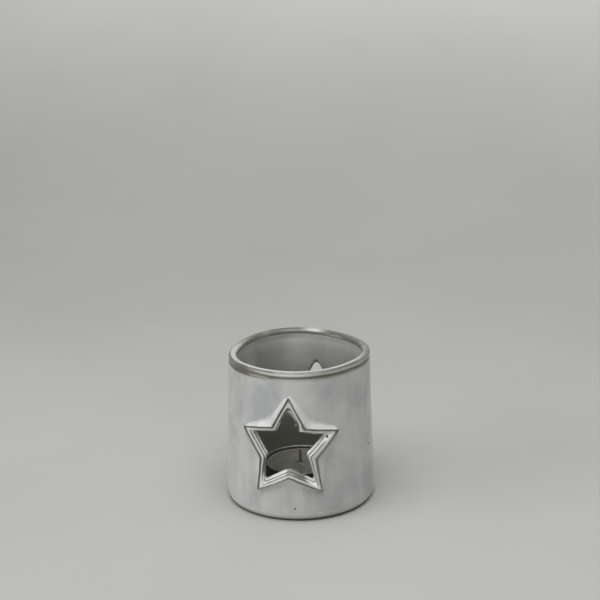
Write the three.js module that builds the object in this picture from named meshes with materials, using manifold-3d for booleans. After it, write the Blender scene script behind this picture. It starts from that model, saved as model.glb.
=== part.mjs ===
// Tealight holder: a glazed stoneware cup with a raised star window at the front and
// another at the back, holding a standard tealight that lifts out.
// Millimetres, +Z up. The origin is the centre of the foot ring's underside, and the
// front star faces -Y.

import * as THREE from 'three';
import { mergeVertices } from 'three/addons/utils/BufferGeometryUtils.js';
import { TessellateModifier } from 'three/addons/modifiers/TessellateModifier.js';
import Module from 'manifold-3d';

// Cup
const HEIGHT = 81.5;
const BASE_RADIUS = 40;
const RIM_RADIUS = 37.3;
const WALL = 4.4;
const FLOOR_TOP = 6;
const FLOOR_FILLET = 4.5;
const EDGE_RADIUS = 4;
const FOOT_OUTER = 36;
const FOOT_INNER = 31;
const FOOT_RECESS = 1.4;
const FOOT_CHAMFER = 0.6;
const RIM_RISE = WALL / 2;

// Stars, measured along the wall's surface
const STAR_POINTS = 5;
const STAR_TIP = 28.8;
const STAR_NOTCH = 15.2;
const STAR_RISE = 1.6;
const STAR_SLOPE = 4.6;
const STAR_TIP_SLOPE = 0.5;
const STAR_INSET = 3.4;
const STAR_CREST = 0.7;
const STAR_TIP_ROUND = 0.07;
const STAR_NOTCH_ROUND = 0.1;
const FRONT_STAR = { azimuth: 0, height: 40 };
const BACK_STAR = { azimuth: 172, height: 42.5 };

// Tealight
const CANDLE_RADIUS = 19;
const CANDLE_HEIGHT = 12;
const FOIL = 0.5;
const ROLL_RADIUS = 0.6;
const CUP_CORNER = 1.2;
const WAX_DROP = 1.6;
const WICK_RADIUS = 0.8;
const WICK_ABOVE_WAX = 8;
const TAB_RADIUS = 6.5;
const TAB_THICKNESS = 0.5;
const NECK_RADIUS = 1.8;
const NECK_HEIGHT = 3.5;

// Gap between touching pieces
const GAP = 0.3;

const ROUND_SEGMENTS = 64;
const CANDLE_SEGMENTS = 40;
const WICK_SEGMENTS = 12;
const ARC_STEPS = 4;
const STAR_FACET = 4.5;

const wasm = await Module();
wasm.setup();

const point = (r, z) => new THREE.Vector2(r, z);

// Points along an arc, from one angle to another in degrees, both ends included.
function arc(r, z, radius, from, to, steps = ARC_STEPS) {
  return Array.from({ length: steps + 1 }, (_, i) => {
    const angle = THREE.MathUtils.degToRad(from + ((to - from) * i) / steps);
    return point(r + radius * Math.cos(angle), z + radius * Math.sin(angle));
  });
}

// A profile of (radius, height) points turned about +Z.
function turned(profile, segments) {
  const geometry = new THREE.LatheGeometry(profile, segments);
  geometry.rotateX(Math.PI / 2);
  return geometry;
}

function closed(profile) {
  return [...profile, profile[0].clone()];
}

function toSolid(geometry) {
  const bare = geometry.clone();
  bare.deleteAttribute('normal');
  bare.deleteAttribute('uv');
  const merged = mergeVertices(bare, 1e-4);
  return new wasm.Manifold(new wasm.Mesh({
    numProp: 3,
    vertProperties: new Float32Array(merged.attributes.position.array),
    triVerts: new Uint32Array(merged.index.array),
  }));
}

function toGeometry(solid) {
  const mesh = solid.getMesh();
  const geometry = new THREE.BufferGeometry();
  geometry.setAttribute('position', new THREE.BufferAttribute(mesh.vertProperties, 3));
  geometry.setIndex(new THREE.BufferAttribute(mesh.triVerts, 1));
  return geometry;
}

function part(name, geometry, color, roughness, metalness = 0) {
  const material = new THREE.MeshStandardMaterial({ color, roughness, metalness });
  const mesh = new THREE.Mesh(geometry, material);
  mesh.name = name;
  return mesh;
}

// Outer radius of the plain wall at a height: it narrows evenly from base to rim.
function wallRadius(z) {
  return THREE.MathUtils.lerp(BASE_RADIUS, RIM_RADIUS, z / HEIGHT);
}

// The cup before the stars are cut: foot ring, floor, wall and rounded rim.
function cupProfile() {
  const rimCentre = HEIGHT - RIM_RISE;
  const innerBase = wallRadius(FLOOR_TOP) - WALL;
  return [
    point(0, FOOT_RECESS),
    point(FOOT_INNER - FOOT_CHAMFER, FOOT_RECESS),
    point(FOOT_INNER, 0),
    point(FOOT_OUTER, 0),
    point(FOOT_OUTER + FOOT_CHAMFER, FOOT_CHAMFER),
    ...arc(BASE_RADIUS - EDGE_RADIUS, FOOT_CHAMFER + EDGE_RADIUS, EDGE_RADIUS, -65, 0),
    point(wallRadius(HEIGHT / 2), HEIGHT / 2),
    ...arc(RIM_RADIUS - RIM_RISE, rimCentre, RIM_RISE, 0, 180, 2 * ARC_STEPS),
    ...arc(innerBase - FLOOR_FILLET, FLOOR_TOP + FLOOR_FILLET, FLOOR_FILLET, 0, -90),
    point(0, FLOOR_TOP),
  ];
}

// The wall's outer skin moved out by the height of the stars' borders.
function borderSkinProfile() {
  const low = EDGE_RADIUS;
  const high = HEIGHT - 2 * RIM_RISE;
  const inset = WALL / 2;
  return closed([
    point(wallRadius(low) - inset, low),
    point(wallRadius(low) + STAR_RISE, low),
    point(wallRadius(high) + STAR_RISE, high),
    point(wallRadius(high) - inset, high),
  ]);
}

// A flat star with softly rounded tips and notches.
function starShape() {
  const corners = Array.from({ length: 2 * STAR_POINTS }, (_, i) => {
    const angle = Math.PI / 2 + (i * Math.PI) / STAR_POINTS;
    const radius = i % 2 ? STAR_NOTCH : STAR_TIP;
    return point(radius * Math.cos(angle), radius * Math.sin(angle));
  });
  const shape = new THREE.Shape();
  corners.forEach((corner, i) => {
    const before = corners.at(i - 1);
    const after = corners[(i + 1) % corners.length];
    const round = i % 2 ? STAR_NOTCH_ROUND : STAR_TIP_ROUND;
    const start = corner.clone().lerp(before, round);
    const end = corner.clone().lerp(after, round);
    if (i) shape.lineTo(start.x, start.y);
    else shape.moveTo(start.x, start.y);
    shape.quadraticCurveTo(corner.x, corner.y, end.x, end.y);
  });
  shape.closePath();
  return shape;
}

// Distance from the star's centre to each of its ten straight edges.
function starEdgeDistance() {
  const half = Math.PI / STAR_POINTS;
  const edge = Math.sqrt(
    STAR_TIP ** 2 + STAR_NOTCH ** 2 - 2 * STAR_TIP * STAR_NOTCH * Math.cos(half),
  );
  return (STAR_TIP * STAR_NOTCH * Math.sin(half)) / edge;
}

// A star bent round the wall and tapered through it, from one depth to another. A depth
// is a distance out from the wall's skin. grow(depth) is how far the star's edges are
// offset there, and tipShare is how much of a sharp corner's full reach its tips keep.
// Through the wall the sides run straight in, as a cutter leaves them.
function starTaper(from, to, spot, grow, tipShare) {
  const settings = { depth: 1, bevelEnabled: false, curveSegments: 3 };
  const flat = new THREE.ExtrudeGeometry(starShape(), settings);
  const star = new TessellateModifier(STAR_FACET, 8).modify(flat);
  const position = star.attributes.position;
  const turn = THREE.MathUtils.degToRad(spot.azimuth);
  const crestRadius = wallRadius(spot.height) + STAR_RISE;
  for (let i = 0; i < position.count; i++) {
    const reach = Math.hypot(position.getX(i), position.getY(i));
    const tipward = THREE.MathUtils.smoothstep(reach, STAR_NOTCH, STAR_TIP);
    const depth = THREE.MathUtils.lerp(from, to, position.getZ(i));
    const share = THREE.MathUtils.lerp(1, tipShare, tipward);
    const scale = 1 + (share * grow(depth)) / starEdgeDistance();
    const z = spot.height + scale * position.getY(i);
    const wall = wallRadius(z);
    const across = (wall * Math.sin((scale * position.getX(i)) / crestRadius)) / (wall + Math.min(depth, 0));
    const angle = turn + Math.asin(across);
    const radius = wall + depth;
    position.setXYZ(i, radius * Math.sin(angle), -radius * Math.cos(angle), z);
  }
  return toSolid(star);
}

// The raised border's outer slope, and the window cut from its crest to the inner wall.
const slopeGrow = (depth) => STAR_SLOPE * (1 - depth / STAR_RISE);
const cutGrow = (depth) => (STAR_INSET * (depth - STAR_RISE)) / (STAR_RISE + WALL) - STAR_CREST;

function starBorder(skin, spot) {
  const border = starTaper(-WALL / 2, 1.5 * STAR_RISE, spot, slopeGrow, STAR_TIP_SLOPE);
  return border.intersect(skin);
}

function starWindow(spot) {
  return starTaper(-2.5 * WALL, 2 * STAR_RISE, spot, cutGrow, 1);
}

function holderBody() {
  const skin = toSolid(turned(borderSkinProfile(), ROUND_SEGMENTS));
  let cup = toSolid(turned(cupProfile(), ROUND_SEGMENTS));
  for (const spot of [FRONT_STAR, BACK_STAR]) {
    cup = cup.add(starBorder(skin, spot)).subtract(starWindow(spot));
  }
  return part('holder_body', toGeometry(cup), 0xa9aaa6, 0.28);
}

// Thin aluminium cup with rounded bottom corners and a rolled rim.
function tealightCup() {
  const inner = CANDLE_RADIUS - FOIL;
  const profile = [
    point(0, 0),
    ...arc(CANDLE_RADIUS - CUP_CORNER, CUP_CORNER, CUP_CORNER, -90, 0, 3),
    ...arc(CANDLE_RADIUS - FOIL + ROLL_RADIUS, CANDLE_HEIGHT - ROLL_RADIUS, ROLL_RADIUS, -60, 180, 8),
    ...arc(inner - CUP_CORNER + FOIL, CUP_CORNER, CUP_CORNER - FOIL, 0, -90, 3),
    point(0, FOIL),
  ];
  return part('tealight_cup', turned(profile, CANDLE_SEGMENTS), 0x8c8c8a, 0.35, 1);
}

// Wax cast in the cup, with a slightly dished top, round the wick and its tab.
function tealightWax() {
  const outer = CANDLE_RADIUS - FOIL - GAP;
  const bottom = FOIL + GAP;
  const top = CANDLE_HEIGHT - WAX_DROP;
  const tabTop = bottom + TAB_THICKNESS + GAP;
  const neckTop = bottom + NECK_HEIGHT + GAP;
  const profile = closed([
    point(TAB_RADIUS + GAP, bottom),
    point(outer - CUP_CORNER, bottom),
    point(outer, bottom + CUP_CORNER),
    point(outer, top),
    point(outer - 1.5, top - 0.5),
    point(WICK_RADIUS + GAP + 2, top - 0.5),
    point(WICK_RADIUS + GAP, top),
    point(WICK_RADIUS + GAP, neckTop),
    point(NECK_RADIUS + GAP, neckTop),
    point(NECK_RADIUS + GAP, tabTop),
    point(TAB_RADIUS + GAP, tabTop),
  ]);
  return part('tealight_wax', turned(profile, CANDLE_SEGMENTS), 0x5b5a53, 0.5);
}

// Steel tab with a crimped neck that stands the wick up.
function wickSustainer() {
  const bottom = FOIL + GAP;
  const bore = WICK_RADIUS + GAP;
  const profile = closed([
    point(bore, bottom),
    point(TAB_RADIUS, bottom),
    point(TAB_RADIUS, bottom + TAB_THICKNESS),
    point(NECK_RADIUS, bottom + TAB_THICKNESS),
    point(NECK_RADIUS, bottom + NECK_HEIGHT),
    point(bore, bottom + NECK_HEIGHT),
  ]);
  return part('wick_sustainer', turned(profile, CANDLE_SEGMENTS / 2), 0xa6a6a6, 0.4, 1);
}

// Braided wick, from the foot of the tab to above the wax, with a rounded tip.
function tealightWick() {
  const bottom = FOIL + GAP;
  const top = CANDLE_HEIGHT - WAX_DROP + WICK_ABOVE_WAX;
  const profile = [
    point(0, bottom),
    point(WICK_RADIUS, bottom),
    ...arc(0, top - WICK_RADIUS, WICK_RADIUS, 0, 90, 3),
  ];
  return part('tealight_wick', turned(profile, WICK_SEGMENTS), 0x75736b, 0.9);
}

const tealight = new THREE.Group();
tealight.position.z = FLOOR_TOP + GAP;
tealight.add(tealightCup(), tealightWax(), wickSustainer(), tealightWick());

const holder = new THREE.Group();
holder.add(holderBody(), tealight);

export default holder;
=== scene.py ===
# Tealight holder: a glazed stoneware cup with two raised star windows and a tealight.
# Shapes are worked out in millimetres round the cup's axis and written in metres.

import math

import bmesh
import bpy
import numpy as np
from mathutils import Matrix, Vector, geometry


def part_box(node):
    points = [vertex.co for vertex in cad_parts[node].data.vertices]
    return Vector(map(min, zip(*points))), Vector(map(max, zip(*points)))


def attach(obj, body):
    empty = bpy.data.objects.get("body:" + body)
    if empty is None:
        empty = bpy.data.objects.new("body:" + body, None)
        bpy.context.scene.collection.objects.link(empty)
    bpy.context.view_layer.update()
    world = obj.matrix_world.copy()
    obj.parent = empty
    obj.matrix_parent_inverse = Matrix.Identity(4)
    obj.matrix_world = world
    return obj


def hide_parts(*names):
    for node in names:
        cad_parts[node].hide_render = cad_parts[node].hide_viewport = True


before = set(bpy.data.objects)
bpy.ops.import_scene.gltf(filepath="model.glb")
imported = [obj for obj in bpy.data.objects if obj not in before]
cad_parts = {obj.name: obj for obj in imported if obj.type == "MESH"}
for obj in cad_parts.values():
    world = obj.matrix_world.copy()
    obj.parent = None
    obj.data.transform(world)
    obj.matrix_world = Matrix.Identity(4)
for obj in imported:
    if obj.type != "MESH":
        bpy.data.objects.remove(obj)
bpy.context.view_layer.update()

MM = 0.001
TAU = 2 * math.pi

# ---------------------------------------------------------------- sizes, in millimetres

CUP_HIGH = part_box("holder_body")[1] / MM
HEIGHT = CUP_HIGH.z
BASE_RADIUS = CUP_HIGH.x
RIM_RADIUS = 37.3
WALL = 4.4
FLOOR_TOP = 6.0
FLOOR_FILLET = 4.5
OUTER_LOW, OUTER_HIGH = 7.0, 76.0
INNER_LOW, INNER_HIGH = 10.5, 76.0
ROW_STEP = 1.1
COLUMNS = 240
COLUMN_TURN = TAU / COLUMNS

STAR_TIP = 28.8
STAR_NOTCH = 15.2
STAR_RADIUS = 40.1
STAR_EDGE = 13.72
FRONT_STAR = (0.0, 40.0)
BACK_STAR = (math.radians(172), 42.5)
CUT_LEAN = 0.14
PANEL_COLUMNS = 35
PANEL_GAP = 0.45


# ---------------------------------------------------------------- smooth helpers

def smooth_path(keys, steps):
    """A Catmull-Rom curve through rows of numbers, each column on its own."""
    keys = np.array(keys, float)
    padded = np.vstack([2 * keys[0] - keys[1], keys, 2 * keys[-1] - keys[-2]])
    rows = []
    for a, b, c, d in zip(padded, padded[1:], padded[2:], padded[3:]):
        for t in np.arange(steps) / steps:
            rows.append(0.5 * (2 * b + (c - a) * t + (2 * a - 5 * b + 4 * c - d) * t**2
                               + (3 * b - a - 3 * c + d) * t**3))
    rows.append(keys[-1])
    return np.array(rows)


def waves(seed, count, most_turns, most_rise):
    """A gentle random surface over (turn, height): a sum of waves that close up round the cup."""
    pick = np.random.default_rng(seed)
    turns = pick.integers(1, most_turns + 1, count)
    rises = pick.uniform(-most_rise, most_rise, count)
    phases = pick.uniform(0, TAU, count)

    def height(turn, z):
        total = sum(np.sin(k * turn + m * z + p) for k, m, p in zip(turns, rises, phases))
        return total / math.sqrt(count / 2)

    return height


# How the rim strays from a flat circle: it sags, waves up and down by (count, millimetres,
# phase in degrees from the rim's own front), and leans to +X.
RIM_AXIS = math.radians(8)
RIM_SAG = -0.3
RIM_WAVES = ((1, 0.44, 37), (2, 0.4, 52), (3, 0.45, 217))
RIM_LEAN = 0.7

# How much of the long and the short waves the wall takes, in millimetres.
LONG_RIPPLE = 0.16
FINE_RIPPLE = 0.05

# How pale the inside is just under the rim: all round, and as the rim's rows are written.
PALE_BAND = 0.28
RIM_PALE = 0.7
PALE_RUN = 0.4
BAND_LOW = 69
RUN_LOW = 48

# Where the rim's colour changes: the run and the brown are the glaze's own, the glint is where
# the painted dark reflection of the far side is left off for the rim's highlight, and the two
# places on the right hold painted shade. Each is (degrees from the rim's own front, spread in
# degrees).
RUN_PLACE = (185, 15)
GLINT_PLACE = (167, 11)
BROWN_PLACE = (-54, 30)
RIGHT_SHADE_PLACE = (48, 50)
TOP_SHADE_PLACE = (82, 38)

hand_waves = waves(seed=4, count=9, most_turns=5, most_rise=0.09)
fine_waves = waves(seed=9, count=12, most_turns=14, most_rise=0.22)


def wall_radius(z):
    """Outer radius of the plain wall, which narrows evenly from base to rim."""
    return BASE_RADIUS + (RIM_RADIUS - BASE_RADIUS) * z / HEIGHT


def by_hand(turn, z, radius):
    """The slight unevenness of a hand-finished cup: a wavy rim and a softly rippled wall."""
    body = np.clip(radius / BASE_RADIUS, 0, 1) ** 2
    ripple = LONG_RIPPLE * hand_waves(turn, z) + FINE_RIPPLE * fine_waves(turn, z)
    out = radius + body * ripple * np.clip(z / 8, 0, 1)
    aside = turn - RIM_AXIS
    sag = RIM_SAG + sum(rise * np.cos(k * aside - math.radians(phase))
                        for k, rise, phase in RIM_WAVES)
    return out, z + np.clip(z / HEIGHT, 0, 1) ** 4 * sag


def place(turn, z, radius):
    """Points round the cup's axis, in metres. Turn 0 faces -Y, and the cup leans a little."""
    radius, z = by_hand(turn, z, radius)
    lean = RIM_LEAN * np.clip(z / HEIGHT, 0, 1) ** 2
    return np.stack([radius * np.sin(turn) + lean, -radius * np.cos(turn), z], -1) * MM


# ---------------------------------------------------------------- meshes

class Skin:
    """Vertices with their glaze weights, and faces, gathered until they are welded.

    The weights: edge where the glaze breaks brown, and also painted shade in creases and on the
    rim;
    pool where it gathers pale, and also painted highlights in the star cuts and on the rim's bead;
    bare where there is none; and well on the surfaces inside the cup, which painted shade darkens.
    """

    KEYS = ("edge", "pool_and_highlight", "bare", "well")

    def __init__(self):
        self.points = []
        self.weights = []
        self.faces = []
        self.count = 0

    def add(self, points, weights):
        """Adds vertices and returns their indices in the same layout."""
        shape = points.shape[:-1]
        kinds = len(self.KEYS)
        self.points.append(points.reshape(-1, 3))
        self.weights.append(np.broadcast_to(weights, (*shape, kinds)).reshape(-1, kinds))
        first, self.count = self.count, self.count + math.prod(shape)
        return np.arange(first, self.count).reshape(shape)

    def strip(self, grid, keep=None, wrap=True):
        """Quads over a grid of indices (rows, columns); keep(row, column) says which."""
        rows, columns = grid.shape
        for j in range(rows - 1):
            for i in range(columns if wrap else columns - 1):
                if keep is None or keep(j, i):
                    k = (i + 1) % columns
                    self.faces.append((grid[j, i], grid[j, k], grid[j + 1, k], grid[j + 1, i]))

    def mesh(self, name, weld=2e-6):
        data = bpy.data.meshes.new(name)
        faces = [tuple(map(int, face)) for face in self.faces]
        data.from_pydata(np.concatenate(self.points).tolist(), [], faces)
        for key, values in zip(self.KEYS, np.concatenate(self.weights).T):
            attribute = data.attributes.new(key, "FLOAT", "POINT")
            attribute.data.foreach_set("value", values.astype(np.float32))
        return finish_mesh(data, weld)


EDGE, POOL_AND_HIGHLIGHT, WELL = (Skin.KEYS.index(key) for key in ("edge", "pool_and_highlight", "well"))


def finish_mesh(data, weld=2e-6):
    """Welds the seams, drops what is loose, faces the skin outwards and shades it smooth."""
    bm = bmesh.new()
    bm.from_mesh(data)
    bmesh.ops.remove_doubles(bm, verts=bm.verts, dist=weld)
    bmesh.ops.delete(bm, geom=[v for v in bm.verts if not v.link_faces], context="VERTS")
    bmesh.ops.recalc_face_normals(bm, faces=bm.faces)
    for face in bm.faces:
        face.smooth = True
    bm.to_mesh(data)
    bm.free()
    return data


def make_object(name, data, material):
    obj = bpy.data.objects.new(name, data)
    bpy.context.scene.collection.objects.link(obj)
    data.materials.append(material)
    return obj


# ---------------------------------------------------------------- the star

# Across the raised border, from the wall outside to the wall inside the cup: how far
# the outline is offset, the height over the wall's skin, and the weights edge, pool and well.
# The pale in the cut's rows is partly pooled glaze and partly painted highlight.
BORDER = [
    (5.4, 0.0, 0, 0, 0),
    (4.4, 0.07, 0, 0.1, 0),
    (3.2, 0.42, 0, 0.27, 0),
    (1.9, 0.98, 0, 0.32, 0),
    (0.8, 1.5, 0, 0.3, 0),
    (0.35, 1.68, 0.35, 0, 0),
    (-0.15, 1.66, 1.0, 0, 0),
    (-0.6, 1.36, 0.75, 0, 0),
    (-1.0, 1.08, 0.1, 0.2, 0),
    (-1.4, 1.02, 0, 0.6, 0),
    (-1.8, 0.98, 0.3, 0, 0),
    (-2.1, 0.7, 0.95, 0, 0),
    (-2.3, 0.35, 0.3, 0.4, 0),
    (-2.55, 0.05, 0, 1, 0),
    (-2.8, -0.35, 0.5, 0, 0),
    (-2.95, -0.8, 0.9, 0, 0),
    (-3.1, -1.3, 0.1, 0.8, 0),
    (-3.3, -2.3, 0, 1, 0),
    (-3.5, -3.3, 0.1, 0.8, 0.1),
    (-3.6, -3.9, 0.8, 0, 0.4),
    (-3.4, -4.3, 0.9, 0, 0.8),
    (-3.0, -4.4, 0.6, 0, 1),
    (-2.4, -4.4, 0, 0, 1),
]
WINDOW_GROW = -3.5

# Offsets between which the cut turns tan, and between which a painted highlight whitens its tips.
TAN_FROM, TAN_FADE = -1.3, 0.8
WHITE_FROM, WHITE_TO = -1.0, -2.9
TAN_EDGE = 0.6
TAN_POOL_LOSS = 0.8
HIGHLIGHT_TIPS = (2, 4, 6, 8)
WHITE_SPREAD = 0.22

# How far a hand-made cut strays along its length: (millimetres, waves round the star, how it
# shifts with the offset, phase).
KNIFE_WAVES = ((0.11, 7, 0.5, 0), (0.09, 13, -0.7, 1), (0.06, 29, 1.1, 2))

TIP_REACH = STAR_TIP / STAR_EDGE
NOTCH_REACH = STAR_NOTCH / STAR_EDGE
CORNER_STEPS = 8
EDGE_STEPS = 18


def star_corners(grow, wander):
    """The ten corners of the star with its edges offset by grow, anticlockwise from the top."""
    corners = []
    for k, (stray, degrees, window_stray) in enumerate(wander):
        is_tip = k % 2 == 0
        share = 0.15 if is_tip and grow > 0 else 1
        reach = TIP_REACH if is_tip else NOTCH_REACH
        inward = min(max(grow / WINDOW_GROW, 0), 1)
        radius = STAR_TIP if is_tip else STAR_NOTCH
        radius = radius + stray + share * reach * grow + window_stray * inward
        angle = math.pi / 2 + k * math.pi / 5 + math.radians(degrees)
        corners.append(np.array([radius * math.cos(angle), radius * math.sin(angle)]))
    return corners


def corner_cut(grow, k):
    """How far back along its edges corner k starts to round. The top tip is the bluntest."""
    is_tip = k % 2 == 0
    if grow >= 0:
        return 0.9 + (1.0 if is_tip else 0.6) * grow
    if k % 10 == 0:
        return 0.9 - 1.5 * grow
    return (0.9 if is_tip else 0.7) - (0.4 if is_tip else 0.25) * grow


def star_outline(grow, wander):
    """The star's outline with rounded corners; every outline has the same number of points."""
    corners = star_corners(grow, wander)
    points = []
    for k, corner in enumerate(corners):
        before, after = corners[k - 1], corners[(k + 1) % 10]
        cut, next_cut = corner_cut(grow, k), corner_cut(grow, k + 1)
        to_before = (before - corner) / np.linalg.norm(before - corner)
        to_after = (after - corner) / np.linalg.norm(after - corner)
        start, end = corner + cut * to_before, corner + cut * to_after
        stop = after - next_cut * to_after
        for t in np.arange(CORNER_STEPS) / CORNER_STEPS:
            points.append((1 - t) ** 2 * start + 2 * t * (1 - t) * corner + t**2 * end)
        for t in np.arange(EDGE_STEPS) / EDGE_STEPS:
            points.append(end + t * (stop - end))
    return np.array(points)


def tan_share(count, spans):
    """Where the cut is tan: 1 inside spans between corners, counted anticlockwise from the top."""
    corner = np.arange(count) * 10 / count
    share = np.zeros(count)
    for start, stop in spans:
        share += np.clip((corner - start) / 0.15, 0, 1) * np.clip((stop - corner) / 0.15, 0, 1)
    return share


def tip_share(count):
    """Where a painted highlight whitens the cut: 1 in the four lower and side tips, 0 away from
    them.
    """
    corner = np.arange(count) * 10 / count
    return sum(np.exp(-(((corner - tip) / WHITE_SPREAD) ** 2)) for tip in HIGHLIGHT_TIPS)


def on_wall(flat, star, height):
    """A flat star point (across, up) bent onto the wall, at a height over its skin."""
    turn, middle = star
    z = middle + flat[..., 1]
    return turn + flat[..., 0] / STAR_RADIUS, z, wall_radius(z) + height


def cut_straight(outlines, heights):
    """Shifts outlines under the skin so that the cut runs straight in, leaning a little."""
    sunk = np.clip(-heights, 0, None)
    across = BASE_RADIUS * np.sin(outlines[..., 0] / STAR_RADIUS) - CUT_LEAN * sunk
    outlines[..., 0] = STAR_RADIUS * np.arcsin(across / (BASE_RADIUS - sunk))


def swell(outlines, lump):
    """Lets a drop of glaze hang from the border: (across, up, size, rise)."""
    across, up, size, rise = lump
    distance = np.hypot(outlines[..., 0] - across, outlines[..., 1] - up)
    push = rise * np.exp(-((distance / size) ** 2))
    return outlines * (1 - push / np.linalg.norm(outlines, axis=-1))[..., None]


def by_knife(outlines, grows):
    """Lets the outlines stray a little along their length, as a cut made by hand does."""
    around = np.arange(outlines.shape[1])[None] * TAU / outlines.shape[1]
    twist = grows[:, None]
    stray = sum(rise * np.sin(k * around + shift * twist + phase)
                for rise, k, shift, phase in KNIFE_WAVES)
    return outlines * (1 + stray / np.linalg.norm(outlines, axis=-1))[..., None]


def star_weights(rings, count, tan_spans):
    """The border's glaze, with the tan stretches of the cut and a painted highlight whitening its
    tips.
    """
    grow = rings[:, None, 0]
    weights = np.zeros((len(rings), count, len(Skin.KEYS)))
    weights[..., [EDGE, POOL_AND_HIGHLIGHT, WELL]] = rings[:, None, 2:]
    tan = tan_share(count, tan_spans)[None] * np.clip((TAN_FROM - grow) / TAN_FADE, 0, 1)
    weights[..., EDGE] = np.clip(weights[..., EDGE] + TAN_EDGE * tan, 0, 1)
    weights[..., POOL_AND_HIGHLIGHT] *= 1 - TAN_POOL_LOSS * tan
    # Painted highlight: the cut is whitened in its lower and side tips.
    tip_highlight = tip_share(count)[None] * ((grow < WHITE_FROM) & (grow > WHITE_TO))
    weights[..., EDGE] *= 1 - tip_highlight
    weights[..., POOL_AND_HIGHLIGHT] += (1 - weights[..., POOL_AND_HIGHLIGHT]) * tip_highlight
    return weights


def add_star(skin, star, wander, tan_spans, lump):
    """The border's rings from outside to inside. Returns the outermost and innermost outlines."""
    rings = smooth_path(BORDER, 3)
    outlines = by_knife(np.array([star_outline(row[0], wander) for row in rings]), rings[:, 0])
    heights = np.repeat(rings[:, 1:2], outlines.shape[1], axis=1)
    if lump:
        outlines = swell(outlines, lump)
    cut_straight(outlines, heights)
    weights = star_weights(rings, outlines.shape[1], tan_spans)
    skin.strip(skin.add(place(*on_wall(outlines, star, heights)), weights))
    return outlines[0], outlines[-1]


def inside(points, outline):
    """Which points lie inside a closed outline, by counting crossings."""
    x, y = points[:, 0], points[:, 1]
    crossings = np.zeros(len(points), int)
    for a, b in zip(outline, np.roll(outline, -1, axis=0)):
        spans = (a[1] > y) != (b[1] > y)
        slope = (b[0] - a[0]) / (b[1] - a[1] if b[1] != a[1] else 1)
        crossings += spans & (x < a[0] + (y - a[1]) * slope)
    return crossings % 2 == 1


def panel_columns(star):
    """The first and last column of the panel that holds a star."""
    middle = round(star[0] / COLUMN_TURN)
    return middle - PANEL_COLUMNS, middle + PANEL_COLUMNS


def add_panel(skin, star, heights, outline, depth):
    """The wall round a star, from the panel's straight edges in to the border's outline."""
    first, last = panel_columns(star)
    across = (np.arange(first, last + 1) * COLUMN_TURN - star[0]) * STAR_RADIUS
    up = heights - star[1]
    u, v = np.meshgrid(across, up)
    grid = np.stack([u.ravel(), v.ravel()], -1)
    rows, columns = len(up), len(across)
    index = np.arange(rows * columns).reshape(rows, columns)
    loop = [*index[0], *index[1:, -1], *index[-1, -2::-1], *index[-2:0:-1, 0]]
    gap = np.min(np.linalg.norm(grid[:, None] - outline[None, ::2], axis=2), axis=1)
    free = ~inside(grid, outline) & (gap > PANEL_GAP)
    free[loop] = True
    numbers = -np.ones(len(grid), int)
    numbers[free] = np.arange(free.sum())
    flat = np.vstack([grid[free], outline])
    ring = free.sum() + np.arange(len(outline))
    around = numbers[loop]
    edges = [*zip(around, np.roll(around, -1)), *zip(ring, np.roll(ring, -1))]
    made, _, faces, *_ = geometry.delaunay_2d_cdt(
        [Vector(p) for p in flat], [(int(a), int(b)) for a, b in edges], [], 0, 1e-6)
    made = np.array([tuple(p) for p in made])
    faces = np.array(faces)
    middles = made[faces].mean(axis=1)
    faces = faces[~inside(middles, outline)]
    turn, z, radius = on_wall(made, star, depth)
    indices = skin.add(place(turn, z, radius), wall_weights(turn, z, depth))
    skin.faces.extend(tuple(indices[f]) for f in faces)


# ---------------------------------------------------------------- the cup

def turned_rows(keys, steps, tint=None):
    """Profile rows (radius, height, edge, pool, bare, well) as a grid of points and weights."""
    rows = smooth_path(keys, steps)
    turns = np.arange(COLUMNS) * COLUMN_TURN
    turn, _ = np.meshgrid(turns, rows[:, 0])
    points = place(turn, np.repeat(rows[:, 1:2], COLUMNS, 1), np.repeat(rows[:, 0:1], COLUMNS, 1))
    weights = np.repeat(rows[:, None, 2:], COLUMNS, 1)
    if tint:
        tint(weights, turn - RIM_AXIS, rows[:, 1:2], rows[:, 0:1])
    return points, weights


def bump_at(aside, degrees, spread):
    """A smooth bump round the rim, 1 at an angle from its front."""
    away = (aside - math.radians(degrees) + math.pi) % TAU - math.pi
    return np.exp(-((away / math.radians(spread)) ** 2))


def pale_run(aside):
    """The pale run of glaze down the inside of the back, by angle from the rim's front."""
    return PALE_RUN * bump_at(aside, *RUN_PLACE)


def tint_rim(weights, aside, z, radius):
    """Brown on the rim's far side, partly glaze break and partly a painted dark reflection, left
    pale where its highlight falls; brown under its left side; painted shade at its right side.
    """
    fade = np.clip((z - OUTER_HIGH - 0.1) / 1.0, 0, 1)
    outer = np.clip((81.2 - z) / 0.6, 0, 1) * (radius > RIM_RADIUS - 1.5) * fade
    top = np.clip((z - 78.6) / 1.2, 0, 1)
    # Partly brown glaze break, partly a painted dark reflection: the rim's far side is browned,
    # except at the glint where its highlight falls.
    far = (0.5 - 0.5 * np.cos(aside)) ** 2 * (1 - 0.9 * bump_at(aside, *GLINT_PLACE)) * fade
    under = bump_at(aside, *BROWN_PLACE) * outer
    # Painted shade under the bead at the rim's right side.
    right_shade = np.clip(1.35 * bump_at(aside, *RIGHT_SHADE_PLACE), 0, 1) * outer
    # Painted shade on the top of the rim's right side.
    top_shade = bump_at(aside, *TOP_SHADE_PLACE) * top * (1 - outer)
    weights[..., EDGE] *= 1 - 0.5 * far
    weights[..., EDGE] += 1.0 * far * top + 0.85 * under + 0.4 * right_shade + 0.42 * top_shade
    weights[..., POOL_AND_HIGHLIGHT] *= (1 - 0.7 * far) * (1 - under) * (1 - right_shade)
    inner = radius < RIM_RADIUS - 3.9
    weights[..., POOL_AND_HIGHLIGHT] *= np.where(inner, (PALE_BAND + pale_run(aside)) / RIM_PALE, 1)
    np.clip(weights, 0, 1, out=weights)


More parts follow.
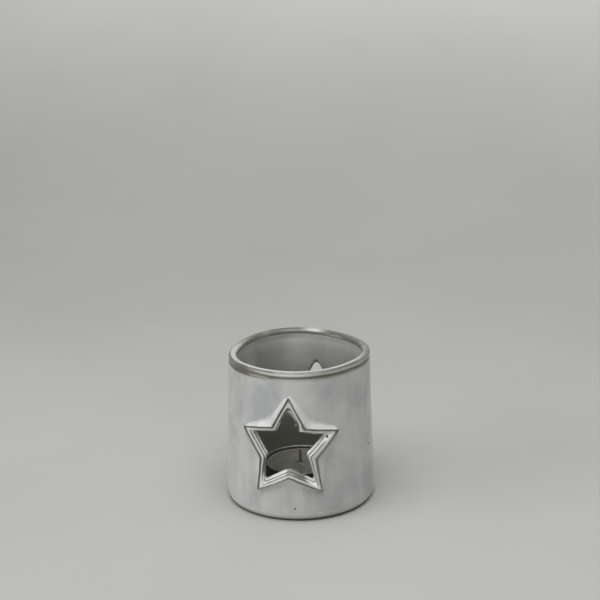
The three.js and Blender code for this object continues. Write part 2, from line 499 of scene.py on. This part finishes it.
def underside_keys():
    """From the middle of the recessed underside over the bare foot ring to the wall."""
    low = wall_radius(OUTER_LOW)
    return [
        (0, 1.5, 0, 0, 1, 0), (14, 1.5, 0, 0, 1, 0),
        (27, 1.45, 0, 0, 1, 0), (30.2, 1.3, 0, 0, 1, 0),
        (31.0, 0.5, 0, 0, 1, 0), (31.7, 0.03, 0, 0, 1, 0), (33.6, 0.0, 0, 0, 1, 0),
        (36.4, 0.03, 0, 0, 1, 0), (37.5, 0.35, 0, 0, 1, 0), (38.4, 1.0, 0.6, 0, 0.9, 0),
        (39.15, 2.1, 0.25, 0, 0, 0), (39.62, 3.7, 0, 0.2, 0, 0), (low - 0.02, 5.6, 0, 0, 0, 0),
        (low, OUTER_LOW, 0, 0, 0, 0),
    ]


def rim_keys():
    """From the outer wall over the beaded rim to the inner wall."""
    out, into = wall_radius(OUTER_HIGH), wall_radius(INNER_HIGH) - WALL
    # Painted shadow: the brown in the crease under the bead. The pale on the bead's outer roll is
    # partly pooled glaze and partly painted highlight.
    return [
        (out, OUTER_HIGH, 0, 0, 0, 0), (out - 0.05, 77.3, 0.15, 0, 0, 0),
        (out - 0.4, 78.2, 0.5, 0, 0, 0), (out - 0.42, 78.8, 0.4, 0.2, 0, 0),
        (out - 0.12, 79.4, 0, 1, 0, 0), (out - 0.14, 80.1, 0, 0.8, 0, 0),
        (out - 0.45, 80.75, 0.4, 0.1, 0, 0), (out - 0.85, 81.15, 0.85, 0, 0, 0),
        (out - 1.35, 81.4, 0.3, 0, 0, 0), (out - 2.4, 81.45, 0.1, 0, 0, 0),
        (out - 3.5, 81.15, 0.05, 0, 0, 0), (out - 4.2, 80.5, 0.45, 0, 0, 0),
        (out - 4.65, 79.6, 1, 0, 0, 0.3), (out - 4.7, 78.8, 0.3, 0.2, 0, 0.5),
        (out - 4.6, 77.6, 0, RIM_PALE, 0, 0.8), (into, INNER_HIGH, 0, RIM_PALE, 0, 1),
    ]


def floor_keys():
    """From the inner wall round the fillet to the middle of the floor."""
    wall = wall_radius(INNER_LOW) - WALL
    centre = wall - FLOOR_FILLET
    keys = [(wall, INNER_LOW, 0, 0, 0, 1)]
    for degrees in (20, 40, 60, 78):
        angle = math.radians(degrees)
        keys.append((centre + FLOOR_FILLET * math.cos(angle),
                     INNER_LOW - FLOOR_FILLET * math.sin(angle), 0, 0.18, 0, 1))
    # Painted shade: the brown line in the crease where the fillet meets the floor.
    keys += [(centre - 0.2, FLOOR_TOP - 0.12, 0.4, 0, 0, 1),
             (centre - 1.6, FLOOR_TOP + 0.02, 0, 0.12, 0, 1)]
    keys += [(radius, FLOOR_TOP, 0, 0, 0, 1) for radius in (25, 17, 9, 0)]
    return keys


def wall_heights(low, high):
    return np.linspace(low, high, round((high - low) / ROW_STEP) + 1)


def wall_weights(turn, z, depth):
    """Plain outside; inside, the well, which painted shade darkens, with a pale band under the rim
    and a pale run at the back.
    """
    weights = np.zeros((*z.shape, len(Skin.KEYS)))
    if depth:
        band = PALE_BAND * np.clip((z - BAND_LOW) / (INNER_HIGH - BAND_LOW), 0, 1) ** 2
        run = pale_run(turn - RIM_AXIS) * np.clip((z - RUN_LOW) / (INNER_HIGH - RUN_LOW), 0, 1)
        weights[..., POOL_AND_HIGHLIGHT] = band + run
        weights[..., WELL] = 1
    return weights


def add_wall(skin, heights, depth):
    """A plain stretch of wall at a depth under the skin, left open where the panels go."""
    turn, z = np.meshgrid(np.arange(COLUMNS) * COLUMN_TURN, heights)
    grid = skin.add(place(turn, z, wall_radius(z) + depth), wall_weights(turn, z, depth))
    taken = set()
    for star in (FRONT_STAR, BACK_STAR):
        first, last = panel_columns(star)
        taken |= {column % COLUMNS for column in range(first, last)}
    skin.strip(grid, keep=lambda row, column: column not in taken)


# How each star's corners stray from a true star: reach in mm, turn in degrees, and the
# window's own further reach in mm. Then where its cut is tan, and its hanging drop of glaze.
FRONT_WANDER = [(0.3, 0, -1.2), (0, 0, 0), (0, -1.5, 0), (1.2, 1, 0.4), (0.9, -0.5, 1.4),
                (0, -0.5, 0), (0.1, 0.5, 0.8), (0.2, -1, -1.7), (0.1, 1, -1.2), (-0.5, -1, 0)]
BACK_WANDER = [(0.2, -2.0, 1.2), (0.3, 0, 0), (-0.3, 1, 0), (0.2, -1, 0.3), (0.3, -0.5, 1.5),
               (-0.3, 0.5, 0), (0, 0, 1), (0.4, 1, -0.4), (-0.2, -1, 0), (0.1, 0, 0)]
FRONT_TAN = ((0.1, 0.75), (3.15, 3.85), (4.93, 5.88), (9.3, 9.8))
BACK_TAN = ((1.2, 1.8), (4.2, 4.9), (7.1, 7.9), (9.0, 10.0))
FRONT_LUMP = (6.4, 12.0, 1.6, 2.0)
STARS = (
    (FRONT_STAR, FRONT_WANDER, FRONT_TAN, FRONT_LUMP),
    (BACK_STAR, BACK_WANDER, BACK_TAN, None),
)


def build_cup():
    skin = Skin()
    skin.strip(skin.add(*turned_rows(underside_keys(), 3)))
    skin.strip(skin.add(*turned_rows(rim_keys(), 3, tint_rim)))
    skin.strip(skin.add(*turned_rows(floor_keys(), 3)))
    outer, inner = wall_heights(OUTER_LOW, OUTER_HIGH), wall_heights(INNER_LOW, INNER_HIGH)
    add_wall(skin, outer, 0)
    add_wall(skin, inner, -WALL)
    for star, wander, tan_spans, lump in STARS:
        outside, within = add_star(skin, star, wander, tan_spans, lump)
        add_panel(skin, star, outer, outside, 0)
        add_panel(skin, star, inner, within, -WALL)
    return skin.mesh("stoneware_cup")


# ---------------------------------------------------------------- material helpers

class Nodes:
    """Short names for building a material's node tree."""

    def __init__(self, name):
        self.material = bpy.data.materials.new(name)
        self.material.use_nodes = True
        self.tree = self.material.node_tree
        self.shader = self.tree.nodes["Principled BSDF"]
        self.place = self.tree.nodes.new("ShaderNodeTexCoord").outputs["Object"]

    def new(self, kind, **settings):
        node = self.tree.nodes.new(kind)
        for key, value in settings.items():
            setattr(node, key, value)
        return node

    def feed(self, socket, value):
        if isinstance(value, bpy.types.NodeSocket):
            self.tree.links.new(value, socket)
        else:
            socket.default_value = value

    def weight(self, name):
        return self.new("ShaderNodeAttribute", attribute_name=name).outputs["Fac"]

    def stretched(self, scale):
        node = self.new("ShaderNodeMapping")
        self.feed(node.inputs["Vector"], self.place)
        node.inputs["Scale"].default_value = scale
        return node.outputs["Vector"]

    def noise(self, scale, detail=3.0, roughness=0.55, vector=None, distortion=0.0):
        node = self.new("ShaderNodeTexNoise")
        self.feed(node.inputs["Vector"], vector or self.place)
        node.inputs["Scale"].default_value = scale
        node.inputs["Detail"].default_value = detail
        node.inputs["Roughness"].default_value = roughness
        node.inputs["Distortion"].default_value = distortion
        return node.outputs["Fac"]

    def ramp(self, value, low, high, to_low=0.0, to_high=1.0):
        node = self.new("ShaderNodeMapRange", interpolation_type="SMOOTHSTEP")
        self.feed(node.inputs["Value"], value)
        limits = {"From Min": low, "From Max": high, "To Min": to_low, "To Max": to_high}
        for key, number in limits.items():
            node.inputs[key].default_value = number
        return node.outputs["Result"]

    def math(self, operation, a, b=0.0, c=0.0):
        node = self.new("ShaderNodeMath", operation=operation)
        for socket, value in zip(node.inputs, (a, b, c)):
            self.feed(socket, value)
        return node.outputs["Value"]

    def mix(self, factor, a, b):
        node = self.new("ShaderNodeMix", data_type="RGBA")
        self.feed(node.inputs["Factor"], factor)
        self.feed(node.inputs[6], a if isinstance(a, bpy.types.NodeSocket) else (*a, 1))
        self.feed(node.inputs[7], b if isinstance(b, bpy.types.NodeSocket) else (*b, 1))
        return node.outputs[2]

    def bump(self, height, strength, distance, normal=None):
        node = self.new("ShaderNodeBump")
        self.feed(node.inputs["Height"], height)
        node.inputs["Strength"].default_value = strength
        node.inputs["Distance"].default_value = distance
        if normal:
            self.feed(node.inputs["Normal"], normal)
        return node.outputs["Normal"]

    def height(self):
        split = self.new("ShaderNodeSeparateXYZ")
        self.feed(split.inputs[0], self.place)
        return split.outputs["Z"]

    def near(self, point, size):
        """1 at a point of the row frame, falling to 0 at a distance, both in metres."""
        node = self.new("ShaderNodeVectorMath", operation="DISTANCE")
        self.feed(node.inputs[0], self.place)
        node.inputs[1].default_value = point
        return self.ramp(node.outputs["Value"], size * 0.5, size, 1.0, 0.0)

    def finish(self, color=None, roughness=None, normal=None, **constants):
        for key, value in (("Base Color", color), ("Roughness", roughness), ("Normal", normal)):
            if value is not None:
                self.feed(self.shader.inputs[key], value)
        for key, value in constants.items():
            self.shader.inputs[key].default_value = value
        return self.material


# ---------------------------------------------------------------- materials

GLAZE_GREY = (0.44, 0.445, 0.435)
GLAZE_COOL = (0.355, 0.365, 0.365)
GLAZE_LIGHT = (0.56, 0.565, 0.555)
# The pale below also serves painted highlights, and the tan and brown also painted shade.
PALE_GLAZE_AND_HIGHLIGHT = (0.76, 0.77, 0.76)
TAN_GLAZE_AND_SHADE = (0.26, 0.245, 0.195)
# Painted shade: the tone the inside of the cup darkens towards.
PAINTED_INSIDE_SHADE = (0.125, 0.122, 0.098)
BREAK_BROWN_AND_SHADE = (0.076, 0.072, 0.061)
PINHOLE_BLACK = (0.015, 0.014, 0.012)
CLAY_BROWN = (0.10, 0.07, 0.05)
CLAY_LIGHT = (0.17, 0.125, 0.09)
# The foil and wax tones are far darker than the real materials: painted shade for the inside of the
# cup.
SHADED_FOIL_TONES = ((0.15, 0.15, 0.145), (0.21, 0.21, 0.205))
SHADED_WAX_TONES = ((0.085, 0.083, 0.070), (0.115, 0.112, 0.095))
STEEL_TONES = ((0.40, 0.40, 0.40), (0.52, 0.52, 0.53))
COTTON_TONES = ((0.13, 0.125, 0.105), (0.20, 0.19, 0.165))
STAGE_FLOOR_TONES = ((0.335, 0.335, 0.32), (0.355, 0.355, 0.34))
STAGE_WALL_TONES = ((0.79, 0.79, 0.78), (0.81, 0.81, 0.80))


def on_skin(turn, z, height=0.0):
    """A point of the cup's skin as a tuple in metres."""
    return tuple(float(value) for value in place(turn, z, wall_radius(z) + height))


# The pinhole's place and how far its pale ring and its black middle reach, in metres.
PINHOLE = on_skin(math.radians(29), 46.4, 0.5)
PINHOLE_RING, PINHOLE_HOLE = 0.0026, 0.0011

# Two larger specks of iron: place and size in metres.
SPECKS = [
    (on_skin(math.radians(3.8), 7.5), 0.0007),
    (on_skin(math.radians(77.6), 32.6), 0.0008),
]


def glaze_tone(n):
    """The clouded grey of the glaze, with soft upright runs."""
    clouds = n.noise(34, 4, 0.55, distortion=0.6)
    mottle = n.noise(150, 4, 0.6)
    runs = n.noise(1, 3, 0.5, vector=n.stretched((95, 95, 11)))
    color = n.mix(n.ramp(clouds, 0.40, 0.62), GLAZE_GREY, GLAZE_COOL)
    color = n.mix(n.math("MULTIPLY", n.ramp(runs, 0.42, 0.72), 0.4), color, GLAZE_LIGHT)
    return n.mix(n.math("MULTIPLY", n.ramp(mottle, 0.45, 0.8), 0.25), color, GLAZE_LIGHT)


def glaze_breaks(n, color):
    """Brown lines where the glaze thins over an edge, uneven along their length; the same weight
    also paints shade in creases and on the rim's right side, and a dark reflection on its far side.
    """
    edge = n.weight("edge")
    patchy = n.ramp(n.noise(75, 3, 0.6), 0.36, 0.58, 0.78, 1.0)
    halo = n.math("MULTIPLY", n.ramp(edge, 0.05, 0.6), patchy)
    line = n.math("MULTIPLY", n.ramp(edge, 0.35, 0.85), patchy)
    color = n.mix(n.math("MULTIPLY", halo, 0.7), color, TAN_GLAZE_AND_SHADE)
    return n.mix(n.math("MULTIPLY", line, 0.9), color, BREAK_BROWN_AND_SHADE)


def glaze_specks(n, color):
    """A few iron specks, and one pinhole at the front star's right tip."""
    specks = n.new("ShaderNodeTexVoronoi")
    n.feed(specks.inputs["Vector"], n.place)
    specks.inputs["Scale"].default_value = 95
    dots = n.ramp(specks.outputs["Distance"], 0.022, 0.05, 1.0, 0.0)
    rare = n.ramp(n.noise(70, 1), 0.56, 0.6)
    color = n.mix(n.math("MULTIPLY", n.math("MULTIPLY", dots, rare), 0.75), color, BREAK_BROWN_AND_SHADE)
    color = n.mix(n.near(PINHOLE, PINHOLE_RING), color, PALE_GLAZE_AND_HIGHLIGHT)
    color = n.mix(n.near(PINHOLE, PINHOLE_HOLE), color, PINHOLE_BLACK)
    for spot, size in SPECKS:
        color = n.mix(n.near(spot, size), color, BREAK_BROWN_AND_SHADE)
    return color


def glaze():
    """Glossy reactive glaze: pale grey, lighter where it pools and brown where it thins, with
    painted shade inside the cup, in creases and on the rim, and painted highlights in the star cuts
    and on the rim's bead.
    """
    n = Nodes("reactive_glaze")
    pool_and_highlight, bare, well = n.weight("pool_and_highlight"), n.weight("bare"), n.weight("well")
    grain = n.noise(1400, 2, 0.6)
    # Painted shade: on the surfaces inside the cup the colour darkens towards the floor.
    depth = n.ramp(n.height(), 0.082, 0.014, 0.34, 0.95)
    color = n.mix(n.math("MULTIPLY", well, depth), glaze_tone(n), PAINTED_INSIDE_SHADE)
    # Pale where the glaze pools, and painted highlights in the star cuts and on the rim's bead.
    color = n.mix(n.math("MULTIPLY", pool_and_highlight, 0.8), color, PALE_GLAZE_AND_HIGHLIGHT)
    color = glaze_specks(n, glaze_breaks(n, color))
    clay = n.mix(n.ramp(grain, 0.35, 0.7), CLAY_BROWN, CLAY_LIGHT)
    color = n.mix(n.ramp(bare, 0.25, 0.6), color, clay)
    roughness = n.ramp(bare, 0.2, 0.6, 0.16, 0.85)
    broad = n.math("MULTIPLY", n.noise(75, 2, 0.5), 0.9)
    swells = n.math("ADD", broad, n.math("MULTIPLY", n.noise(150, 4, 0.6), 0.1))
    normal = n.bump(grain, 0.06, 0.0002, n.bump(swells, 0.35, 0.0004))
    return n.finish(color, roughness, normal, IOR=1.5)


def foil():
    """Drawn aluminium with fine upright draw marks, in a tone far darker than bare aluminium:
    painted shade for the inside of the cup.
    """
    n = Nodes("drawn_foil")
    marks = n.noise(1, 3, 0.6, vector=n.stretched((900, 900, 60)))
    tone = n.mix(n.ramp(marks, 0.3, 0.7), *SHADED_FOIL_TONES)
    roughness = n.ramp(n.noise(300, 3), 0.3, 0.7, 0.4, 0.55)
    return n.finish(tone, roughness, n.bump(marks, 0.25, 0.0001), Metallic=1.0)


def wax():
    n = Nodes("paraffin_wax")
    clouds = n.noise(120, 4, 0.6)
    # Painted shade: the wax is far darker than paraffin wax, so the tealight reads as dark as the
    # shaded inside of the cup.
    tone = n.mix(n.ramp(clouds, 0.3, 0.7), *SHADED_WAX_TONES)
    normal = n.bump(n.noise(260, 4, 0.6), 0.3, 0.0002)
    material = n.finish(tone, n.ramp(clouds, 0.3, 0.7, 0.38, 0.5), normal, IOR=1.44)
    n.shader.inputs["Subsurface Weight"].default_value = 0.25
    n.shader.inputs["Subsurface Radius"].default_value = (0.003, 0.0025, 0.002)
    n.shader.inputs["Subsurface Scale"].default_value = 1.0
    return material


def tinned_steel():
    n = Nodes("tinned_steel")
    tone = n.mix(n.ramp(n.noise(700, 4), 0.3, 0.7), *STEEL_TONES)
    return n.finish(tone, n.ramp(n.noise(400, 3), 0.3, 0.7, 0.3, 0.5), Metallic=1.0)


def cotton():
    n = Nodes("waxed_cotton")
    fibres = n.noise(1, 4, 0.7, vector=n.stretched((5200, 5200, 1500)))
    tone = n.mix(n.ramp(fibres, 0.3, 0.7), *COTTON_TONES)
    return n.finish(tone, 0.75, n.bump(fibres, 0.5, 0.0002))


def stage_material():
    n = Nodes("pale_stage")
    speckle = n.ramp(n.noise(5, 4), 0.3, 0.7)
    floor = n.mix(speckle, *STAGE_FLOOR_TONES)
    wall = n.mix(speckle, *STAGE_WALL_TONES)
    return n.finish(n.mix(n.ramp(n.height(), 0.0, 0.4), floor, wall), 0.7)


# ---------------------------------------------------------------- the tealight

ROLL = 0.6
FOIL = 0.5
DIMPLE = 0.06
tea_low, tea_high = (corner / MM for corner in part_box("tealight_cup"))
foot, top = tea_low.z, tea_high.z
wax_low, wax_high = (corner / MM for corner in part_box("tealight_wax"))
tab_low, tab_high = (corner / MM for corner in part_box("wick_sustainer"))
wick_low, wick_high = (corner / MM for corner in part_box("tealight_wick"))

# The wick's strands: how far their centres run from its axis, how thick they are (radius), and
# how far up one turn takes them, in millimetres. Then the sides and the rings of each strand.
STRAND_REACH = 0.36
STRAND_THICK = 0.42
STRAND_PITCH = 3.4
STRAND_SIDES = 10
STRAND_RINGS = 90


def lathe(name, keys, steps, columns, shape=None, closed=False):
    """A turned piece from rows (radius, height) in mm; shape(turn, radius, z) may alter it."""
    rows = smooth_path([*keys, keys[0]] if closed else keys, steps)
    if closed:
        rows = rows[:-1]
    turn, radius = np.meshgrid(np.arange(columns) * TAU / columns, rows[:, 0])
    z = np.repeat(rows[:, 1:2], columns, 1)
    if shape:
        radius, z = shape(turn, radius, z)
    points = np.stack([radius * np.sin(turn), -radius * np.cos(turn), z], -1) * MM
    index = np.arange(points[..., 0].size).reshape(points.shape[:2])
    if closed:
        index = np.vstack([index, index[:1]])
    faces = [(a, b, c, d) for low, high in zip(index, index[1:])
             for a, b, c, d in zip(low, np.roll(low, -1), np.roll(high, -1), high)]
    data = bpy.data.meshes.new(name)
    data.from_pydata(points.reshape(-1, 3).tolist(), [], [tuple(map(int, f)) for f in faces])
    return finish_mesh(data, 1e-5)


def cup_shape(turn, radius, z):
    """Fine crimps in the foil's wall, which fade out at the rolled rim and the bottom."""
    rise = np.clip((z - foot) / 3, 0, 1) * np.clip((top - 2.2 - z) / 2, 0, 1)
    crimp = 0.05 * np.sin(turn * 48) + 0.03 * np.sin(turn * 31 + 1)
    return radius + crimp * rise * (radius > 10), z


def build_tea_cup():
    out = tea_high.x - 2 * ROLL + FOIL
    keys = [
        (0, foot + 0.35), (4, foot + 0.35), (6.5, foot + 0.3), (7.2, foot + 0.02), (12, foot),
        (out - 1.6, foot), (out - 0.5, foot + 0.3), (out, foot + 1.4), (out, foot + 6),
        (out, top - 3), (out + 0.05, top - 1.5), (out + 0.55, top - 1.15), (out + 0.7, top - 0.55),
        (out + 0.25, top - 0.03), (out - 0.3, top - 0.3), (out - FOIL, top - 1.2),
        (out - FOIL, top - 4), (out - FOIL, foot + 2), (out - FOIL - 0.9, foot + FOIL + 0.02),
        (12, foot + FOIL), (0, foot + FOIL + 0.3),
    ]
    return lathe("foil_cup", keys, 4, 192, cup_shape)


def build_wax():
    out, low, high = wax_high.x, wax_low.z, wax_high.z
    bore = 1.1
    pocket, neck = tab_high.x + 0.3, 2.1
    tab_top = tab_low.z + 0.8
    keys = [
        (pocket, low), (12, low), (out - 1.2, low), (out - 0.15, low + 0.8), (out, low + 3),
        (out, high - 0.6), (out - 0.12, high - 0.02), (out - 0.8, high - 0.38),
        (out - 2.2, high - 0.55), (12, high - 0.6), (6, high - 0.55), (2.6, high - 0.4),
        (1.5, high - 0.02), (bore, high - 0.1),
        (bore, high - 2), (bore, tab_high.z + 0.35), (neck, tab_high.z + 0.3),
        (neck, tab_top + 0.1), (pocket, tab_top),
    ]
    dimples = waves(seed=3, count=7, most_turns=4, most_rise=0.1)

    def shape(turn, radius, z):
        dent = DIMPLE * dimples(turn, radius)
        return radius, z + dent * (z > high - 1) * (radius > 1.5) * (radius < out - 1)

    return lathe("wax_block", keys, 3, 96, shape, closed=True)


def build_tab():
    low, high, out = tab_low.z, tab_high.z, tab_high.x
    keys = [
        (1.12, low), (4, low), (out - 0.15, low), (out, low + 0.25), (out - 0.15, low + 0.5),
        (4, low + 0.5), (2.2, low + 0.55), (1.8, low + 1.0), (1.75, high - 0.2), (1.5, high),
        (1.12, high - 0.1),
    ]
    return lathe("steel_tab", keys, 3, 48, closed=True)


def strand_path(strand, t):
    """The line that one of the three strands follows up the wick, drawn together at the top."""
    low, high = wick_low.z, wick_high.z
    z = low + 0.05 + (high - low - 0.25) * t
    angle = TAU * (z - low) / STRAND_PITCH + strand * TAU / 3
    tighten = 1 - 0.35 * np.clip((t - 0.93) / 0.07, 0, 1)
    reach = STRAND_REACH * tighten
    return np.stack([reach * np.cos(angle), reach * np.sin(angle), z], -1)


def strand_points(strand):
    """Rings of points round one strand, which narrow at its two ends."""
    t = np.linspace(0, 1, STRAND_RINGS)
    centre = strand_path(strand, t)
    along = np.gradient(centre, axis=0)
    along /= np.linalg.norm(along, axis=1, keepdims=True)
    side = np.cross(along, [0, 0, 1.0])
    side /= np.linalg.norm(side, axis=1, keepdims=True)
    up = np.cross(side, along)
    around = (np.arange(STRAND_SIDES) * TAU / STRAND_SIDES)[None, :, None]
    ends = np.sqrt(np.clip(1 - ((2 * t - 1) ** 40), 0.02, 1))
    ring = np.cos(around) * side[:, None] + np.sin(around) * up[:, None]
    return centre[:, None] + STRAND_THICK * ends[:, None, None] * ring


def strand_faces(base):
    """The faces of one strand whose first point has the index base, closed at both ends."""
    sides, last = STRAND_SIDES, STRAND_RINGS - 1
    faces = []
    for j in range(last):
        a, b = base + j * sides, base + (j + 1) * sides
        for i in range(sides):
            k = (i + 1) % sides
            faces.append((a + i, a + k, b + k, b + i))
    faces.append(tuple(range(base, base + sides))[::-1])
    faces.append(tuple(range(base + last * sides, base + (last + 1) * sides)))
    return faces


def build_wick():
    """Three straight plaited strands that stay inside the wick's own cylinder."""
    skin_points, faces = [], []
    for strand in range(3):
        faces.extend(strand_faces(len(skin_points)))
        skin_points.extend(strand_points(strand).reshape(-1, 3) * MM)
    data = bpy.data.meshes.new("plaited_wick")
    data.from_pydata([tuple(p) for p in skin_points], [], faces)
    return finish_mesh(data, 1e-7)


# ---------------------------------------------------------------- assembly

def stand_in(name, data, material, node, body):
    piece = make_object(name, data, material)
    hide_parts(node)
    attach(piece, body)
    return piece


stand_in("stoneware_cup", build_cup(), glaze(), "holder_body", "holder")
stand_in("foil_cup", build_tea_cup(), foil(), "tealight_cup", "tealight")
stand_in("wax_block", build_wax(), wax(), "tealight_wax", "tealight")
stand_in("steel_tab", build_tab(), tinned_steel(), "wick_sustainer", "tealight")
stand_in("plaited_wick", build_wick(), cotton(), "tealight_wick", "tealight")


# ---------------------------------------------------------------- stage, light and camera

STAGE_REACH = 0.35
STAGE_BEND = 0.9
STAGE_TOP = 2.4
STAGE_SPREAD = 6.0


def add_stage():
    """A pale floor that curves up into a pale backdrop."""
    bend = [(STAGE_REACH + STAGE_BEND * math.sin(a), STAGE_BEND * (1 - math.cos(a)))
            for a in np.linspace(0, math.pi / 2, 24)]
    rows = [(-STAGE_SPREAD, 0), *bend, (STAGE_REACH + STAGE_BEND, STAGE_TOP)]
    verts = [(x, y, z) for y, z in rows for x in (-STAGE_SPREAD, STAGE_SPREAD)]
    faces = [(2 * i, 2 * i + 1, 2 * i + 3, 2 * i + 2) for i in range(len(rows) - 1)]
    data = bpy.data.meshes.new("backdrop")
    data.from_pydata(verts, [], faces)
    for polygon in data.polygons:
        polygon.use_smooth = True
    stage = make_object("backdrop", data, stage_material())


def add_light(name, place_at, aim, size, power):
    lamp = bpy.data.lights.new(name, "AREA")
    lamp.shape = "RECTANGLE"
    lamp.size, lamp.size_y = size
    lamp.energy = power
    obj = bpy.data.objects.new(name, lamp)
    bpy.context.scene.collection.objects.link(obj)
    obj.location = place_at
    obj.rotation_euler = (Vector(aim) - Vector(place_at)).to_track_quat("-Z", "Y").to_euler()


def add_world(strength):
    world = bpy.data.worlds.new("soft_room")
    world.use_nodes = True
    background = world.node_tree.nodes["Background"]
    background.inputs["Color"].default_value = (1.0, 1.0, 0.99, 1)
    background.inputs["Strength"].default_value = strength
    bpy.context.scene.world = world


VIEW_TURN = math.radians(8.7)
VIEW_DISTANCE = 0.728
VIEW_HEIGHT = 0.335
VIEW_PITCH = math.radians(17.3)
VIEW_ROLL = 0.0223
VIEW_YAW = 0.0023
VIEW_LENS = 87.6


def add_camera():
    lens = bpy.data.cameras.new("camera")
    lens.sensor_width = 36.0
    lens.lens = VIEW_LENS
    lens.clip_start, lens.clip_end = 0.01, 10.0
    camera = bpy.data.objects.new("camera", lens)
    bpy.context.scene.collection.objects.link(camera)
    across, back = math.sin(VIEW_TURN), -math.cos(VIEW_TURN)
    spot = Vector((VIEW_DISTANCE * across, VIEW_DISTANCE * back, VIEW_HEIGHT))
    heading = Matrix.Rotation(VIEW_TURN - VIEW_YAW, 4, "Z")
    pitch = Matrix.Rotation(math.pi / 2 - VIEW_PITCH, 4, "X")
    roll = Matrix.Rotation(-VIEW_ROLL, 4, "Z")
    camera.matrix_world = Matrix.Translation(spot) @ (heading @ pitch @ roll)
    bpy.context.scene.camera = camera


CUP_MIDDLE = (0, 0, 0.04)
ROOM_STRENGTH = 0.42

# Each lamp: name, place, what it points at, width and height in metres, and power in watts.
LAMPS = (
    ("overhead", (0.02, -0.3, 0.95), CUP_MIDDLE, (0.9, 0.8), 9.5),
    ("left", (-0.9, -0.5, 0.45), CUP_MIDDLE, (0.6, 0.7), 3.8),
    ("behind", (0.5, 0.9, 0.6), CUP_MIDDLE, (0.6, 0.6), 0.8),
    ("backdrop", (0, 0.3, 1.5), (0, 1.2, 0.7), (1.5, 0.4), 3.5),
)

add_stage()
add_world(ROOM_STRENGTH)
for lamp in LAMPS:
    add_light(*lamp)
add_camera()
bpy.context.scene.view_settings.view_transform = "Standard"
